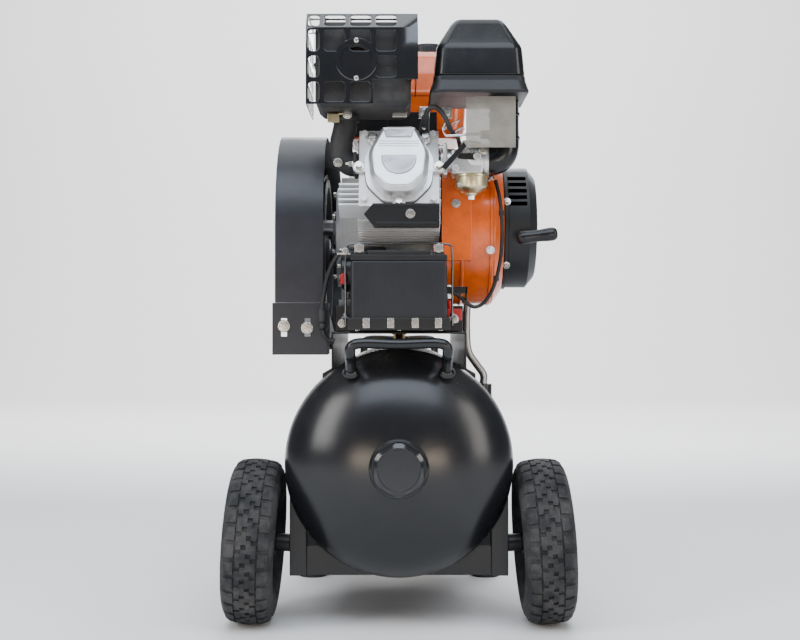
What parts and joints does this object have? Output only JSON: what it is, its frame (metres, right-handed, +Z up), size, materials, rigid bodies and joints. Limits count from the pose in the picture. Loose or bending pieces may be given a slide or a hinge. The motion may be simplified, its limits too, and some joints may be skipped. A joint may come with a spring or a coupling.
{
  "type": "air compressor",
  "caption": "Portable engine-driven air compressor: horizontal tank on wheels and rubber feet, belt-driven pump under a guard, petrol engine with electric start.",
  "frame": {"origin": "on the floor, under the middle of the machine's overall box", "axes": "+Z up, +X to the recoil starter's side, +Y from the wheeled end to the pump end"},
  "size_m": [0.5456, 0.8166, 0.9475],
  "materials": {
    "tank_paint": "satin black enamel",
    "rim_paint": "satin black enamel",
    "tyre": "dull rubber with moulded tread",
    "foot_rubber": "dull rubber",
    "battery_case": "moulded, lightly ribbed",
    "tray_paint": "satin black",
    "strap_wire": "bright wire",
    "cable_sheath": "smooth sheath",
    "engine_alloy": "die-cast, slightly rough",
    "bright_alloy": "die-cast, bright",
    "black_panel": "satin black",
    "muffler_steel": "heat-dulled black",
    "cage_enamel": "gloss black enamel",
    "cleaner_plastic": "smooth black",
    "smoked_plastic": "translucent grey",
    "starter_plastic": "fine grain",
    "shroud_orange": "gloss orange enamel",
    "fuel_orange": "gloss orange enamel",
    "zinc": "bright zinc plate",
    "crank_steel": "turned",
    "fan_alloy": "cast",
    "pulley_iron": "turned and oiled",
    "pump_iron": "painted casting",
    "pump_alloy": "die-cast",
    "belt_rubber": "fabric-faced",
    "guard_paint": "satin blue-black",
    "pipe_copper": "drawn tube",
    "fitting_brass": "machined",
    "lever_red": "gloss red"
  },
  "bodies": {
    "machine": {"air_tank": "tank_paint", "tank_plug_front": "tank_paint", "tank_plug_rear": "tank_paint", "axle_bracket": "tank_paint", "foot_bracket": "tank_paint", "handle_front": "tank_paint", "handle_rear": "tank_paint", "platform": "tank_paint", "engine_rail": "tank_paint", "foot_left": "foot_rubber", "foot_right": "foot_rubber", "battery": "battery_case", "battery_tray": "tray_paint", "battery_strap": "strap_wire", "battery_cable": "cable_sheath", "shroud_cable": "cable_sheath", "plug_lead": "cable_sheath", "crankcase": "engine_alloy", "cylinder_block": "engine_alloy", "rocker_cover": "bright_alloy", "carburettor": "bright_alloy", "cylinder_deflector": "black_panel", "starter_motor": "black_panel", "exhaust_pipe": "muffler_steel", "muffler": "muffler_steel", "muffler_guard": "cage_enamel", "air_cleaner_base": "cleaner_plastic", "air_cleaner_cover": "cleaner_plastic", "intake_duct": "cleaner_plastic", "intake_shield": "smoked_plastic", "recoil_housing": "starter_plastic", "fan_shroud": "shroud_orange", "fuel_tank": "fuel_orange", "pump_crankcase": "pump_iron", "pump_cylinder_front": "pump_iron", "pump_cylinder_rear": "pump_iron", "pump_head_front": "pump_alloy", "pump_head_rear": "pump_alloy", "drive_belt": "belt_rubber", "belt_guard": "guard_paint", "guard_bracket_front": "guard_paint", "discharge_pipe": "pipe_copper", "air_manifold": "fitting_brass"},
    "left_wheel": {"tyre_left": "tyre", "rim_left": "rim_paint"},
    "right_wheel": {"tyre_right": "tyre", "rim_right": "rim_paint"},
    "pump_shaft": {"pump_flywheel": "pulley_iron"},
    "engine_shaft": {"crankshaft": "crank_steel", "cooling_fan": "fan_alloy", "drive_pulley": "pulley_iron"},
    "starter_grip": {"pull_handle": "starter_plastic"},
    "filler_cap": {"fuel_cap": "starter_plastic"},
    "throttle": {"throttle_lever": "zinc"},
    "choke": {"choke_lever": "starter_plastic"},
    "key": {"start_key": "zinc"},
    "regulator": {"regulator_knob": "starter_plastic"},
    "outlet_valve": {"outlet_lever": "lever_red"},
    "drain_valve": {"drain_tap": "fitting_brass"},
    "relief_ring": {"safety_ring": "zinc"}
  },
  "joints": [
    {"name": "left_wheel_roll", "type": "hinge", "parent": "machine", "child": "left_wheel", "pos_m": [-0.227, -0.249, 0.12893], "axis": [0.9982, 0, -0.0593], "continuous": true},
    {"name": "right_wheel_roll", "type": "hinge", "parent": "machine", "child": "right_wheel", "pos_m": [0.227, -0.249, 0.12893], "axis": [0.9982, 0, 0.0593], "continuous": true},
    {"name": "pump_spin", "type": "hinge", "parent": "machine", "child": "pump_shaft", "pos_m": [0, 0.215, 0.6], "axis": [1, 0, 0], "continuous": true},
    {"name": "engine_spin", "type": "hinge", "parent": "machine", "child": "engine_shaft", "pos_m": [0, -0.159, 0.6275], "axis": [1, 0, 0], "continuous": true},
    {"name": "starter_pull", "type": "slide", "parent": "machine", "child": "starter_grip", "axis": [0, -1, 0], "range_m": [0, 0.6], "stiffness_N_per_m": 15, "springref_m": -0.1},
    {"name": "cap_lift", "type": "slide", "parent": "machine", "child": "filler_cap", "axis": [0, 0, 1], "range_m": [0, 0.08]},
    {"name": "throttle_turn", "type": "hinge", "parent": "machine", "child": "throttle", "pos_m": [0.102, -0.319, 0.747], "axis": [0, 0, 1], "range_deg": [-25, 30]},
    {"name": "choke_turn", "type": "hinge", "parent": "machine", "child": "choke", "pos_m": [0.116, -0.341, 0.7215], "axis": [0, 1, 0], "range_deg": [0, 60]},
    {"name": "key_turn", "type": "hinge", "parent": "machine", "child": "key", "pos_m": [0.135, -0.1, 0.7595], "axis": [0, 1, 0], "range_deg": [0, 75]},
    {"name": "regulator_turn", "type": "hinge", "parent": "machine", "child": "regulator", "pos_m": [0.1, 0.33, 0.471], "axis": [1, 0, 0], "range_deg": [-540, 540]},
    {"name": "outlet_turn", "type": "hinge", "parent": "machine", "child": "outlet_valve", "pos_m": [-0.082, 0.33, 0.487], "axis": [0, 0, 1], "range_deg": [0, 90]},
    {"name": "drain_turn", "type": "hinge", "parent": "machine", "child": "drain_valve", "pos_m": [0, 0.2, 0.06], "axis": [0, 0, 1], "range_deg": [0, 90]},
    {"name": "relief_pull", "type": "slide", "parent": "machine", "child": "relief_ring", "axis": [0, 0, 1], "range_m": [0, 0.006], "stiffness_N_per_m": 150, "springref_m": -0.004}
  ],
  "couplings": [
    {"joint": "engine_spin", "follows": "pump_spin", "ratio": 2.8846}
  ]
}
